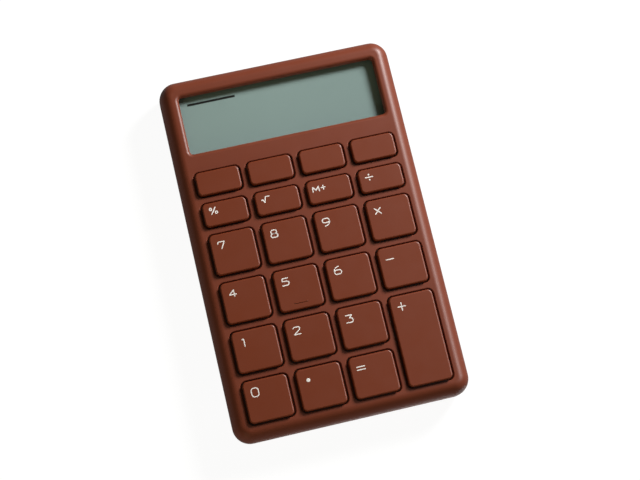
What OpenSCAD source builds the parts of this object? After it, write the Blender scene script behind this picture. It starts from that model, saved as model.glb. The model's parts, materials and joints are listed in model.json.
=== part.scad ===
// Desk calculator: a slim case with a rounded rim, a recessed display and a grid of flat keys.
// Millimetres. The origin is under the middle of the case, on the surface that the feet stand on.
// +X is to the right of the keys, +Y runs towards the display end and +Z is up.

/* [Case] */
// Width of the case
case_w = 77.1; // [66:0.1:93]
// Length of the case, from its front edge to its display end
case_l = 120.2; // [100:0.1:145]
// Corner radius of the case, seen from above
corner_r = 5.7; // [5:0.1:8]
// Thickness of the side walls of both case halves
side_wall = 1.8; // [1.4:0.1:2.2]
// Thickness of the plate around the keys
top_wall = 1.6; // [1.3:0.1:2]
// Thickness of the rear cover's floor
floor_wall = 1.6; // [1.3:0.1:2]
// Width of the rounded rim, seen from above
rim_w = 4.1; // [3:0.1:4.8]
// Width of the rounding along the rear cover's lower edge
rear_rim_w = 2.6; // [1.5:0.1:3.2]
// Height of the rounding along the rear cover's lower edge
rear_rim_h = 3.6; // [2:0.1:4.4]

/* [Keys] */
// Space between two caps, side to side
key_gap_x = 2.85; // [2.6:0.05:3.6]
// Space between two caps, front to back
key_gap_y = 2.75; // [2.6:0.05:3.6]
// From the side of the case to the nearest caps
key_margin_x = 5.775; // [5.2:0.025:7]
// From the front edge of the case to the nearest caps
key_margin_y = 5.375; // [5.1:0.025:7]
// Length of the caps in the two low rows
low_cap_l = 7.7; // [7:0.1:9.2]
// Corner radius of the caps
cap_r = 1.5; // [1:0.1:2.2]
// Bevel around the top of a cap
cap_bevel = 0.3; // [0.1:0.05:0.5]
// Height of the caps above the face
cap_proud = 1.2; // [1.1:0.1:2]
// Gap between a cap and the hole around it
key_clear = 0.45; // [0.3:0.05:0.5]
// Reach of a cap's flange under the plate, past the hole's edge
flange_lip = 0.53; // [0.4:0.01:0.58]
// Thickness of the flange
flange_t = 0.8; // [0.6:0.1:1.2]
// Wall thickness of the hollow caps
cap_wall = 1; // [0.8:0.1:1.3]

/* [Display] */
// From the side of the case to the window's edge on the face
window_margin_x = 5.15; // [5:0.05:7]
// From the display end of the case to the window's edge on the face
window_margin_y = 5.55; // [5.3:0.05:7]
// Length of the window on the face
window_l = 20.9; // [17:0.1:25]
// Corner radius of the window on the face
window_r = 2; // [1.5:0.1:3]
// Inward slope of the window's walls, over the plate's thickness
window_slope = 1; // [0.6:0.1:1.3]
// Face between the window and the first row of caps
band_l = 6.225; // [5.8:0.025:9]
// Thickness of the clear window lens
lens_t = 0.8; // [0.6:0.1:1]
// Thickness of one sheet of display glass
glass_t = 0.55; // [0.4:0.05:0.6]
// Thickness of the polariser and of the reflector
film_t = 0.2; // [0.1:0.05:0.25]
// Thickness of the foam under the display
foam_t = 0.3; // [0.2:0.05:0.4]

/* [Inside] */
// Thickness of the circuit board
board_t = 1.2; // [0.8:0.1:1.6]
// Thickness of the keypad mat between its domes
mat_t = 0.6; // [0.4:0.1:0.9]
// Height of a dome above the mat
dome_h = 1.6; // [1.5:0.1:2.2]
// Diameter of the coin cell
cell_d = 20; // [16:0.1:24]
// Thickness of the coin cell
cell_h = 3.2; // [2.5:0.1:4]
// Shank diameter of the screws that close the case
case_screw_d = 1.7; // [1.4:0.05:2.05]
// Shank diameter of the screws that hold the board
board_screw_d = 1.4; // [1.2:0.05:1.7]

/* [Rear] */
// Diameter of a rubber foot
foot_d = 9; // [7:0.5:12]
// Height of the feet below the rear cover
foot_h = 0.8; // [0.5:0.1:1.5]
// From the sides and ends of the case to a foot's centre
foot_inset = 9.5; // [8.5:0.1:12]
// From the display end of the case to the coin cell's centre
cell_inset = 22; // [20:0.1:28]

/* [Hidden] */
$fn = 48;
eps = 0.01;

// Heights, from the surface that the feet stand on
cell_gap = 0.2;
contact_room = 0.6;
dome_gap = 0.1;
stop_gap = 0.1;
z_back = foot_h;
z_floor = z_back + floor_wall;
z_cell = z_floor + cell_gap;
z_cell_top = z_cell + cell_h;
z_split = z_cell_top + contact_room;
z_board = z_split + board_t;
z_mat = z_board + mat_t;
z_dome = z_mat + dome_h;
z_flange = z_dome + dome_gap;
z_flange_top = z_flange + flange_t;
z_plate = z_flange_top + stop_gap;
z_face = z_plate + top_wall;
z_cap = z_face + cap_proud;

// Key grid: columns count from the left, rows from the front edge
cap_w = (case_w - 2 * key_margin_x - 3 * key_gap_x) / 4;
keys_l = case_l - window_margin_y - window_l - band_l - key_margin_y;
cap_l = (keys_l - 2 * low_cap_l - 5 * key_gap_y) / 4;
TALL_ROWS = 4;
ROWS = 6;
function col_x(c) = (c - 1.5) * (cap_w + key_gap_x);
function row_l(r) = r < TALL_ROWS ? cap_l : low_cap_l;
function row_y(r) = r == 0
    ? -case_l / 2 + key_margin_y + cap_l / 2
    : row_y(r - 1) + row_l(r - 1) / 2 + key_gap_y + row_l(r) / 2;
// The middle of the gap behind column c and above row r
function cross(c, r) = [(col_x(c) + col_x(c + 1)) / 2, row_y(r) + row_l(r) / 2 + key_gap_y / 2];

// Each key is its name, its column, its first row and how many rows it spans
KEYS = [
    ["key_0", 0, 0, 1], ["key_point", 1, 0, 1], ["key_equals", 2, 0, 1], ["key_plus", 3, 0, 2],
    ["key_1", 0, 1, 1], ["key_2", 1, 1, 1], ["key_3", 2, 1, 1],
    ["key_4", 0, 2, 1], ["key_5", 1, 2, 1], ["key_6", 2, 2, 1], ["key_minus", 3, 2, 1],
    ["key_7", 0, 3, 1], ["key_8", 1, 3, 1], ["key_9", 2, 3, 1], ["key_multiply", 3, 3, 1],
    ["key_percent", 0, 4, 1], ["key_root", 1, 4, 1], ["key_memory_plus", 2, 4, 1], ["key_divide", 3, 4, 1],
    ["key_function_1", 0, 5, 1], ["key_function_2", 1, 5, 1],
    ["key_function_3", 2, 5, 1], ["key_function_4", 3, 5, 1]
];
HOME_KEY = "key_5";
home_bar = [4.4, 0.45, 0.2];
home_bar_y = -4.5;
function key_y(k) = (row_y(k[2]) + row_y(k[2] + k[3] - 1)) / 2;
function key_l(k) = k[3] * row_l(k[2]) + (k[3] - 1) * key_gap_y;
caps_front = row_y(0) - cap_l / 2;
caps_back = row_y(ROWS - 1) + low_cap_l / 2;
caps_side = col_x(3) + cap_w / 2;

// Domes of the mat, one at each place of the grid
dome_r = 3;
dome_neck_r = 2.2;
dome_top_r = 1.8;
dome_roof = 0.95;
pill_r = 1.2;
pill_t = 0.4;
dome_wall = 0.45;
neck_wall = 0.2;
mat_edge = 0.5;
DOMES = [for (c = [0:3], r = [0:ROWS - 1]) [col_x(c), row_y(r)]];

// Screws that close the case stand in the gaps beyond the first and last row of caps
boss_out = 1.55;
case_boss_r = 1.5;
case_boss_z = z_split - 2.2;
case_screw_tip = z_board + 1;
CASE_BOSSES = [for (c = [0, 2], y = [caps_front - boss_out, caps_back + boss_out]) [cross(c, 0)[0], y]];
post_r = 2.6;
post_gap = 0.1;
head_r = 1.5;
head_t = 1;
head_seat = z_floor + 0.4;
head_clear = 0.2;
shank_clear = 0.1;
boss_clear = 0.3;
bite = 0.15;
bore_past_tip = 0.3;

// Screws that hold the board and the mat, where four caps meet
board_boss_r = 1.3;
board_head_r = 1.2;
board_head_t = 0.8;
board_screw_tip = z_plate - 0.8;
board_bite = 0.1;
mat_clear = 0.2;
BOARD_BOSSES = [cross(1, 0), cross(0, 1), cross(2, 1), cross(0, 3), cross(2, 3), cross(1, 4)];

// Rear cover: a lip inside the upper shell, two hooks at the display end
lip_t = 0.8;
lip_h = 1.2;
lip_clear = 0.1;
hook_w = 6;
hook_out = 0.45;
hook_x = 16;
hook_z = z_split + 0.55;
hook_h = 0.45;
hook_edge = 0.15;
hook_clear = 0.15;
inner_w = case_w - 2 * side_wall;
inner_l = case_l - 2 * side_wall;
inner_r = corner_r - side_wall;

// Board
board_clear = 0.4;
board_x = inner_w / 2 - lip_clear - lip_t - board_clear;
board_back = inner_l / 2 - lip_clear - lip_t - board_clear;
board_front = caps_front + board_clear;
board_r = inner_r - lip_clear - lip_t - board_clear;

// Window and display stack
window_w = case_w - 2 * window_margin_x;
window_y = case_l / 2 - window_margin_y - window_l / 2;
lens_lap = 1.6;
lens_w = window_w - 2 * window_slope + 2 * lens_lap;
lens_l = window_l - 2 * window_slope + 2 * lens_lap;
z_lens = z_plate - lens_t;
z_foam = z_board + foam_t;
z_reflector = z_foam + film_t;
z_rear_glass = z_reflector + glass_t;
z_front_glass = z_rear_glass + glass_t;
z_polariser = z_front_glass + film_t;
glass_w = window_w + 1.2;
glass_back = window_y + window_l / 2 + 1;
glass_front = window_y - window_l / 2 - 1.9;
ledge_l = 2.2;
frame_t = 0.8;
frame_clear = 0.15;
film_clear = 0.1;
strip_l = 1.5;
strip_front = 0.3;
strip_w = glass_w - 10;
lip_over = 0.4;
film_inset = 0.3;
foam_inset = 1;

// Coin cell, the cup around it and the round door below it
cell_y = case_l / 2 - cell_inset;
cell_clear = 0.4;
cup_wall = 1;
tab_in = cell_d / 2 + 0.3;
tab_root = 0.45;
tab_edge = 0.15;
tab_out = 1.2;
tab_clear = 0.3;
tab_lift = 0.1;
tab_h = 0.7;
tab_angle = 34;
notch_angle = tab_angle + 6;
TABS = [0, 120, 240];
plug_r = tab_in + tab_root + tab_edge;
plug_clear = 0.1;
tab_r = plug_r + tab_out;
groove_r = tab_r + tab_clear;
groove_z = z_floor + tab_lift + tab_h + tab_lift;
cup_r = groove_r + cup_wall;
cup_z = z_split - 0.2;
door_lip = 0.6;
door_t = 0.7;
door_r = tab_r + door_lip;
door_clear = 0.2;
door_turn = 60;
coin_slot = [13, 1.8, 0.8];
leaf_t = 0.25;
leaf_w = 4;
leaf_clear = 0.5;
leaf_foot = 5;
rim_gap = 0.03;

// Small parts under the board
blob_r = 5;
blob_t = 1.3;
blob_at = [0, -12];
can_r = 1.4;
can_l = 6;
can_at = [14, -12];
lead_r = 0.25;
chip_size = [2, 1.25, 0.5];
CHIPS = [[-14, -6], [-14, -12], [-14, -18], [-20, -9], [-20, -15]];

// Feet sit in shallow round pockets
foot_seat = 0.6;
foot_clear = 0.1;
foot_x = case_w / 2 - foot_inset;
foot_y = case_l / 2 - foot_inset;

// Colours
CLAY = [0.49, 0.26, 0.2];
CLAY_CAP = [0.44, 0.22, 0.155];
RUBBER = [0.16, 0.13, 0.12];
SILICONE = [0.72, 0.7, 0.66];
CARBON = [0.08, 0.08, 0.08];
BOARD = [0.13, 0.36, 0.2];
STEEL = [0.72, 0.72, 0.7];
GLASS = [0.7, 0.78, 0.76, 0.4];
LCD_GREY = [0.51, 0.59, 0.57];

// Block with a rounded outline. edge lists [inset, height] from the bottom to the top of its side.
module slab(w, l, r, edge) {
    last = len(edge) - 1;
    for (x = [-1, 1], y = [-1, 1])
        translate([x * (w / 2 - r), y * (l / 2 - r), 0])
            rotate_extrude()
                polygon(concat(
                    [[0, edge[0][1]]],
                    [for (e = edge) [r - e[0], e[1]]],
                    [[0, edge[last][1]]]
                ));
    rotate([90, 0, 0])
        linear_extrude(l - 2 * r, center = true)
            section(w, edge);
    rotate([90, 0, 90])
        linear_extrude(w - 2 * r, center = true)
            section(l, edge);
}

module section(w, edge) {
    polygon(concat(
        [for (e = edge) [w / 2 - e[0], e[1]]],
        [for (i = [len(edge) - 1:-1:0]) [edge[i][0] - w / 2, edge[i][1]]]
    ));
}

// Quarter of an ellipse that turns inwards as it rises from z0 to z1
RIM_STEPS = 10;
function upper_rim(w, z0, z1) = [
    for (i = [0:RIM_STEPS])
        let (t = 90 * i / RIM_STEPS)
        [w * (1 - cos(t)), z0 + (z1 - z0) * sin(t)]
];

// Quarter of an ellipse that turns outwards as it rises from z0, over the height h
function lower_rim(w, z0, h) = [
    for (i = [0:RIM_STEPS])
        let (t = 90 * i / RIM_STEPS)
        [w * (1 - sin(t)), z0 + h * (1 - cos(t))]
];

module rod(r, z0, z1) {
    translate([0, 0, z0]) cylinder(r = r, h = z1 - z0);
}

// Arc of a ring about the Z axis, with its middle at angle mid
module arc(r0, r1, z0, z1, sweep, mid) {
    rotate([0, 0, mid - sweep / 2])
        rotate_extrude(angle = sweep)
            translate([r0, z0])
                square([r1 - r0, z1 - z0]);
}

module at_each(places) {
    for (p = places)
        translate([p[0], p[1], 0])
            children();
}

module key_outline(k, grow, z0, z1) {
    translate([col_x(k[1]), key_y(k), 0])
        slab(cap_w + 2 * grow, key_l(k) + 2 * grow, cap_r + grow, [[0, z0], [0, z1]]);
}

module window_cut() {
    hull() {
        translate([0, window_y, z_plate])
            slab(
                window_w - 2 * window_slope, window_l - 2 * window_slope, window_r - window_slope / 2,
                [[0, -eps], [0, 0]], $fn = 32
            );
        translate([0, window_y, z_face])
            slab(window_w, window_l, window_r, [[0, 0], [0, eps]], $fn = 32);
    }
}

module top_shell() {
    color(CLAY) difference() {
        union() {
            difference() {
                slab(case_w, case_l, corner_r, upper_rim(rim_w, z_split, z_face));
                slab(
                    inner_w, inner_l, inner_r,
                    concat([[0, z_split - 1]], upper_rim(rim_w - side_wall, z_split, z_plate))
                );
            }
            at_each(CASE_BOSSES) rod(case_boss_r, case_boss_z, z_plate + eps);
            at_each(BOARD_BOSSES) rod(board_boss_r, z_board, z_plate + eps);
        }
        for (k = KEYS)
            key_outline(k, key_clear, z_plate - eps, z_face + 1);
        window_cut();
        at_each(CASE_BOSSES)
            rod(case_screw_d / 2 - bite, case_boss_z - 1, case_screw_tip + bore_past_tip);
        at_each(BOARD_BOSSES)
            rod(board_screw_d / 2 - board_bite, z_board - 1, board_screw_tip + bore_past_tip);
        for (s = [-1, 1])
            translate([s * hook_x - hook_w / 2 - hook_clear, inner_l / 2 - 1, hook_z - hook_clear])
                cube([hook_w + 2 * hook_clear, 1 + hook_out, hook_h + 2 * hook_clear]);
    }
}

module rear_cover() {
    color(CLAY) difference() {
        union() {
            difference() {
                slab(
                    case_w, case_l, corner_r,
                    concat(lower_rim(rear_rim_w, z_back, rear_rim_h), [[0, z_split]])
                );
                slab(inner_w, inner_l, inner_r, [[0, z_floor], [0, z_split + 1]]);
            }
            rear_lip();
            at_each(CASE_BOSSES) rod(post_r, z_floor - eps, case_boss_z - post_gap);
            translate([0, cell_y, 0]) rod(cup_r, z_floor - eps, cup_z);
        }
        at_each(CASE_BOSSES) {
            rod(head_r + head_clear, z_back - 1, head_seat);
            rod(case_screw_d / 2 + shank_clear, head_seat - 1, case_boss_z);
        }
        translate([0, cell_y, 0]) cup_cut();
        for (x = [-foot_x, foot_x], y = [-foot_y, foot_y])
            translate([x, y, 0]) rod(foot_d / 2 + foot_clear, z_back - 1, z_back + foot_seat);
    }
}

// Lip that stands inside the upper shell, open where a boss comes down, with its two hooks
module rear_lip() {
    lip_out = inner_w - 2 * lip_clear;
    lip_len = inner_l - 2 * lip_clear;
    root = -lip_clear - 0.05;
    difference() {
        slab(
            lip_out, lip_len, inner_r - lip_clear,
            [[root, z_split - lip_h], [root, z_split], [0, z_split], [0, z_split + lip_h]]
        );
        slab(
            lip_out - 2 * lip_t, lip_len - 2 * lip_t, inner_r - lip_clear - lip_t,
            [[0, z_split - 2], [0, z_split + lip_h + 1]]
        );
        at_each(CASE_BOSSES) rod(case_boss_r + boss_clear, z_split - 2, z_split + lip_h + 1);
    }
    for (s = [-1, 1])
        translate([s * hook_x, lip_len / 2, hook_z])
            rotate([90, 0, 90])
                linear_extrude(hook_w, center = true)
                    polygon([[-eps, 0], [hook_out, 0], [hook_out, hook_edge], [-eps, hook_h]]);
}

// What is cut from the cup: the cell's room, the groove for the tabs, the door's seat and its notches
module cup_cut() {
    rod(cell_d / 2 + cell_clear, groove_z - eps, cup_z + 1);
    rod(groove_r, z_floor, groove_z);
    rod(plug_r + plug_clear, z_back - 1, z_floor + eps);
    rod(door_r + door_clear, z_back - 1, z_back + door_t + tab_lift);
    for (a = TABS)
        arc(1, tab_r + door_clear, z_back + door_t, z_floor + eps, notch_angle, a + door_turn);
    translate([-leaf_w / 2 - leaf_clear, -cup_r - 1, groove_z])
        cube([leaf_w + 2 * leaf_clear, cup_r, cup_z]);
}

module battery_door() {
    color(CLAY) translate([0, cell_y, 0]) difference() {
        union() {
            rod(door_r, z_back, z_back + door_t);
            rod(plug_r, z_back, z_floor);
            for (a = TABS)
                rotate([0, 0, a - tab_angle / 2])
                    door_tab();
        }
        translate([-coin_slot[0] / 2, -coin_slot[1] / 2, z_back - 1])
            cube([coin_slot[0], coin_slot[1], coin_slot[2] + 1]);
    }
}

// Tab that stands on the plug and reaches out over the rear cover's floor
module door_tab() {
    z_root = z_floor - 0.4;
    z_low = z_floor + tab_lift;
    rotate_extrude(angle = tab_angle) polygon([
        [tab_in, z_root], [tab_in + tab_root, z_root], [tab_in + tab_root, z_low],
        [tab_r, z_low], [tab_r, z_low + tab_h], [tab_in, z_low + tab_h]
    ]);
}

module keycap(k) {
    grow = key_clear + flange_lip;
    pocket_r = max(cap_r - cap_wall, 0.4);
    color(CLAY_CAP) {
        difference() {
            union() {
                translate([col_x(k[1]), key_y(k), 0])
                    slab(cap_w, key_l(k), cap_r, [[0, z_flange], [0, z_cap - cap_bevel], [cap_bevel, z_cap]]);
                key_outline(k, grow, z_flange, z_flange_top);
            }
            translate([col_x(k[1]), key_y(k), 0])
                slab(
                    cap_w - 2 * cap_wall, key_l(k) - 2 * cap_wall, pocket_r,
                    [[0, z_flange - 1], [0, z_cap - cap_wall]]
                );
        }
        for (r = [k[2]:k[2] + k[3] - 1])
            translate([col_x(k[1]), row_y(r), 0]) rod(dome_neck_r, z_flange, z_cap - cap_wall + eps);
        if (k[0] == HOME_KEY)
            translate([col_x(k[1]), key_y(k) + home_bar_y, z_cap + home_bar[2] / 2 - eps])
                cube(home_bar, center = true);
    }
}

module keypad_mat() {
    mat_l = caps_back - caps_front - 2 * mat_edge;
    color(SILICONE) difference() {
        union() {
            translate([0, (caps_front + caps_back) / 2, 0])
                slab(2 * (caps_side + mat_edge), mat_l, cap_r, [[0, z_board], [0, z_mat]]);
            at_each(DOMES) dome_outside();
        }
        at_each(DOMES) dome_hollow();
        at_each(BOARD_BOSSES) rod(board_boss_r + mat_clear, z_board - 1, z_mat + 1);
    }
}

module dome_outside() {
    shoulder = z_mat + 0.55 * dome_h;
    rotate_extrude() polygon([
        [0, z_mat - eps], [dome_r, z_mat - eps], [dome_neck_r, shoulder],
        [dome_top_r, shoulder], [dome_top_r, z_dome], [0, z_dome]
    ]);
}

module dome_hollow() {
    rotate_extrude() polygon([
        [0, z_board - 1], [dome_r - dome_wall, z_board - 1], [dome_r - dome_wall, z_board],
        [dome_top_r - neck_wall, z_dome - dome_roof], [0, z_dome - dome_roof]
    ]);
}

module contact_pills() {
    color(CARBON) at_each(DOMES) rod(pill_r, z_dome - dome_roof - pill_t, z_dome - dome_roof);
}

module main_board() {
    color(BOARD) difference() {
        translate([0, (board_front + board_back) / 2, 0])
            slab(2 * board_x, board_back - board_front, board_r, [[0, z_split], [0, z_board]]);
        at_each(CASE_BOSSES) rod(case_boss_r + boss_clear, z_split - 1, z_board + 1);
        at_each(BOARD_BOSSES) rod(board_screw_d / 2 + shank_clear, z_split - 1, z_board + 1);
    }
}

// Drop of black resin over the chip, on the underside of the board
module chip_blob() {
    ball_r = (blob_r * blob_r + blob_t * blob_t) / (2 * blob_t);
    sweep = asin(blob_r / ball_r);
    steps = 8;
    color(CARBON) translate([blob_at[0], blob_at[1], z_split]) rotate_extrude() polygon(concat(
        [for (i = [0:steps]) let (t = sweep * i / steps) [ball_r * sin(t), ball_r * (1 - cos(t)) - blob_t]],
        [[0, 0]]
    ));
}

// Small can that lies under the board on its two leads
module capacitor() {
    z_can = z_split - can_r - 0.2;
    color("slategray") translate([can_at[0], can_at[1], 0]) {
        translate([0, 0, z_can]) rotate([90, 0, 0]) cylinder(r = can_r, h = can_l, center = true);
        for (x = [-0.7, 0.7]) {
            translate([x, can_l / 2 + 1, z_can]) rotate([90, 0, 0]) cylinder(r = lead_r, h = 1.2);
            translate([x, can_l / 2 + 1, z_can - lead_r]) cylinder(r = lead_r, h = z_split - z_can + lead_r);
        }
    }
}

module resistors() {
    color(CARBON) at_each(CHIPS)
        translate([-chip_size[0] / 2, -chip_size[1] / 2, z_split - chip_size[2]])
            cube(chip_size);
}

module coin_cell() {
    bevel = 0.25;
    cap_step = 0.35;
    can_top_r = cell_d / 2 - 0.9;
    color(STEEL) translate([0, cell_y, z_cell]) rotate_extrude() polygon([
        [0, 0], [cell_d / 2 - bevel, 0], [cell_d / 2, bevel], [cell_d / 2, cell_h - cap_step - bevel],
        [cell_d / 2 - bevel, cell_h - cap_step], [can_top_r, cell_h - cap_step],
        [can_top_r - bevel, cell_h], [0, cell_h]
    ]);
}

// Spring leaf from the board's underside down to the middle of the cell
module cell_contact_top() {
    color("goldenrod") translate([0, cell_y, 0]) rotate([90, 0, 90]) linear_extrude(leaf_w, center = true)
        polygon([
            [8, z_split], [3, z_split], [-1, z_cell_top + leaf_t], [-4, z_cell_top + 2 * leaf_t],
            [-4, z_cell_top + leaf_t], [-1, z_cell_top], [3.4, z_split - leaf_t], [8, z_split - leaf_t]
        ]);
}

// Leaf that stands beside the cell and presses on its rim
module cell_contact_rim() {
    y_leaf = cell_y - cell_d / 2 - rim_gap - leaf_t;
    color("goldenrod") {
        translate([-leaf_w / 2, y_leaf, groove_z + tab_lift])
            cube([leaf_w, leaf_t, z_split - groove_z - tab_lift]);
        translate([-leaf_w / 2, y_leaf - leaf_foot, z_split - leaf_t])
            cube([leaf_w, leaf_foot + leaf_t, leaf_t]);
    }
}

module display_window() {
    color(GLASS) translate([0, window_y, 0])
        slab(lens_w, lens_l, 1, [[0, z_lens], [0, z_plate]]);
}

// Flat layer of the display, between two distances along Y and two heights
module layer(front, back, z0, z1, inset = 0) {
    translate([-glass_w / 2 + inset, front, z0])
        cube([glass_w - 2 * inset, back - front, z1 - z0]);
}

module lcd_polariser() {
    color(LCD_GREY)
        layer(glass_front + ledge_l, glass_back - film_inset, z_front_glass, z_polariser, film_inset);
}

module lcd_front_glass() {
    color(GLASS) layer(glass_front, glass_back, z_rear_glass, z_front_glass);
}

module lcd_rear_glass() {
    color(GLASS) layer(glass_front + ledge_l, glass_back, z_reflector, z_rear_glass);
}

module lcd_reflector() {
    color("silver")
        layer(glass_front + ledge_l + film_inset, glass_back - film_inset, z_foam, z_reflector, film_inset);
}

module lcd_foam() {
    color("dimgray")
        layer(glass_front + ledge_l + foam_inset, glass_back - foam_inset, z_board, z_foam, foam_inset);
}

// Rubber strip with fine conductive layers, between the board and the ledge of the front glass
module lcd_strip() {
    color("gainsboro")
        translate([-strip_w / 2, glass_front + strip_front, z_board])
            cube([strip_w, strip_l, z_rear_glass - z_board]);
}

// Frame around the display, with a lip over its edge
module lcd_frame() {
    frame_w = glass_w + 2 * (frame_clear + frame_t);
    frame_front = glass_front - frame_clear - frame_t;
    frame_back = glass_back + frame_clear + frame_t;
    room_w = frame_w - 2 * frame_t;
    open_front = window_y - window_l / 2 + lip_over;
    open_back = window_y + window_l / 2 - lip_over;
    open_w = window_w - 2 * lip_over;
    color("whitesmoke") difference() {
        translate([0, (frame_front + frame_back) / 2, 0])
            slab(frame_w, frame_back - frame_front, 1, [[0, z_board], [0, z_lens]]);
        translate([-room_w / 2, frame_front + frame_t, z_board - 1])
            cube([room_w, frame_back - frame_front - 2 * frame_t, z_polariser + film_clear - z_board + 1]);
        translate([-open_w / 2, open_front, z_board])
            cube([open_w, open_back - open_front, z_lens]);
    }
}

module screw(shank_d, r, t, seat, tip) {
    slot_w = 0.35;
    difference() {
        union() {
            rod(r, seat - t, seat);
            rod(shank_d / 2, seat - eps, tip);
        }
        for (a = [0, 90])
            rotate([0, 0, a])
                translate([-0.65 * r, -slot_w / 2, seat - t - 1])
                    cube([1.3 * r, slot_w, 1 + t / 2]);
    }
}

module case_screws() {
    color(STEEL) at_each(CASE_BOSSES) screw(case_screw_d, head_r, head_t, head_seat, case_screw_tip);
}

module board_screws() {
    color(STEEL) at_each(BOARD_BOSSES)
        screw(board_screw_d, board_head_r, board_head_t, z_split, board_screw_tip);
}

module foot(sx, sy) {
    bevel = 0.4;
    color(RUBBER) translate([sx * foot_x, sy * foot_y, 0]) rotate_extrude() polygon([
        [0, 0], [foot_d / 2 - bevel, 0], [foot_d / 2, bevel],
        [foot_d / 2, z_back + foot_seat], [0, z_back + foot_seat]
    ]);
}

top_shell();
rear_cover();
battery_door();
for (k = KEYS)
    keycap(k);
keypad_mat();
contact_pills();
main_board();
chip_blob();
capacitor();
resistors();
coin_cell();
cell_contact_top();
cell_contact_rim();
display_window();
lcd_polariser();
lcd_front_glass();
lcd_rear_glass();
lcd_reflector();
lcd_foam();
lcd_frame();
lcd_strip();
case_screws();
board_screws();
foot(-1, -1);  // foot_front_left
foot(1, -1);  // foot_front_right
foot(-1, 1);  // foot_back_left
foot(1, 1);  // foot_back_right
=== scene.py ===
"""Looks of a slim desk calculator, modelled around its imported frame.

Metres, +Z up, and the display end towards +Y.
"""
import json
from math import cos, radians, sin

import bmesh
import bpy
from mathutils import Matrix, Vector


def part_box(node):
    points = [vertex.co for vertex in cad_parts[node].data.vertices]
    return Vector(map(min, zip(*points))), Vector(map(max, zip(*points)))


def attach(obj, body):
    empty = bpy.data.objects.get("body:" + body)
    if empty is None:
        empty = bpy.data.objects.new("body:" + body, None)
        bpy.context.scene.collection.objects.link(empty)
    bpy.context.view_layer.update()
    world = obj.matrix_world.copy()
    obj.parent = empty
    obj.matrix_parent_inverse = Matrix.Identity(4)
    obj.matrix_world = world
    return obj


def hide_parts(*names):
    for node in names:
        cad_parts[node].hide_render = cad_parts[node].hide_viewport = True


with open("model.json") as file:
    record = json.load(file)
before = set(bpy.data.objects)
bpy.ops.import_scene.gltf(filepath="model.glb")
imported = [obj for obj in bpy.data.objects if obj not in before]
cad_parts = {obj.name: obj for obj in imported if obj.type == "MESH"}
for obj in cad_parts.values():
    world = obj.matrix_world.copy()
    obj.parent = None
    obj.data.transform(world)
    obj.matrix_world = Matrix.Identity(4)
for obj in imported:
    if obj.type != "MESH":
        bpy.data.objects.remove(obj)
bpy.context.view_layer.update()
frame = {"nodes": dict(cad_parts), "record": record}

MM = 0.001

# How near heights count as one height, and points as one point
SAME = 1e-6
WELD = 0.01 * MM

# How far a solid passes into one that it joins, and a cutter past what it cuts
LAP = 0.2 * MM
CUT_LAP = 0.1 * MM
CUT_PAST = 1 * MM

# Case: rounded rims, wall thicknesses and the softened edges of the openings
CORNER_R = 5.7 * MM
SIDE_WALL = 1.8 * MM
FLOOR_WALL = 1.6 * MM
RIM_W = 4.25 * MM
REAR_RIM_W = 2.6 * MM
REAR_RIM_H = 3.6 * MM
SEAM = 0.12 * MM
HOLE_ROUND = 0.32 * MM
WINDOW_R = 2 * MM
WINDOW_SLOPE = 1 * MM
WINDOW_ROUND = 1.35 * MM
WINDOW_LEAD = (0.42 * MM, 0.55 * MM)
WINDOW_SHIFT = -0.15 * MM
WINDOW_STEPS = 10
WINDOW_CUT_PAST = 0.4 * MM
LENS_LAP = 1.6 * MM
BOSS_R = 1.5 * MM
BOSS_Z = 4.2 * MM
BOSS_OUT = 1.55 * MM
BOARD_BOSS_R = 1.3 * MM
CASE_BORE_R = 0.7 * MM
BOARD_BORE_R = 0.6 * MM
BORE_PAST_TIP = 0.3 * MM
POST_R = 2.6 * MM
POST_GAP = 0.1 * MM
SCREW_HOLE_R = 1.7 * MM
SCREW_SEAT_Z = 2.8 * MM
SHANK_HOLE_R = 0.95 * MM
FOOT_SEAT = 0.6 * MM
FOOT_GAP = 0.1 * MM
MOUTH_ROUND = 0.18 * MM

# Lip of the rear shell inside the upper one, with its hooks and the slots that they snap into
LIP_T = 0.8 * MM
LIP_H = 1.2 * MM
LIP_GAP = 0.1 * MM
BOSS_GAP = 0.3 * MM
HOOK_X = 16 * MM
HOOK_W = 6 * MM
HOOK_OUT = 0.45 * MM
HOOK_H = 0.45 * MM
HOOK_EDGE = 0.15 * MM
HOOK_LIFT = 0.55 * MM
HOOK_GAP = 0.15 * MM
SHARP = 0.05 * MM
LIP_LAP = 0.05 * MM

# Battery door and the room around it
DOOR_T = 0.7 * MM
DOOR_GAP = 0.2 * MM
PLUG_R = 10.9 * MM
PLUG_GAP = 0.1 * MM
DOOR_ROUND = 0.25 * MM
COIN_SLOT = (13 * MM, 1.8 * MM, 0.8 * MM)
GROOVE_OUTER_R = 9.4 * MM
GROOVE_INNER_R = 8.4 * MM
GROOVE_ROUND = 0.2 * MM
GROOVE_CHAMFER = 0.15 * MM
CUP_R = 13.4 * MM
CUP_INNER_R = 10.4 * MM
CUP_TOP = 6.2 * MM
TAB_ROOM_R = 12.4 * MM
TAB_ROOM_H = 0.9 * MM
TABS = (0, 120, 240)
TAB_INNER_R = 10.3 * MM
TAB_ROOT_R = 10.75 * MM
TAB_R = 12.1 * MM
TAB_H = 0.7 * MM
TAB_SWEEP = 34
TAB_ROOT_LAP = 0.4 * MM
NOTCH_SWEEP = 40
LEAF_WAY_W = 5 * MM
DOOR_TURN = 60

# Round marks on the door and beside it: the angle and the radius of each of the case's, and their places
CASE_MARKS = ((0, 0.5 * MM), (DOOR_TURN, 0.9 * MM))
CASE_MARK_AT = 14.6 * MM
DOOR_MARK_R = 0.5 * MM
DOOR_MARK_FROM_EDGE = 1.6 * MM
MARK_ROUND = 0.1 * MM
MARK_DEPTH = 0.25 * MM

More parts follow.
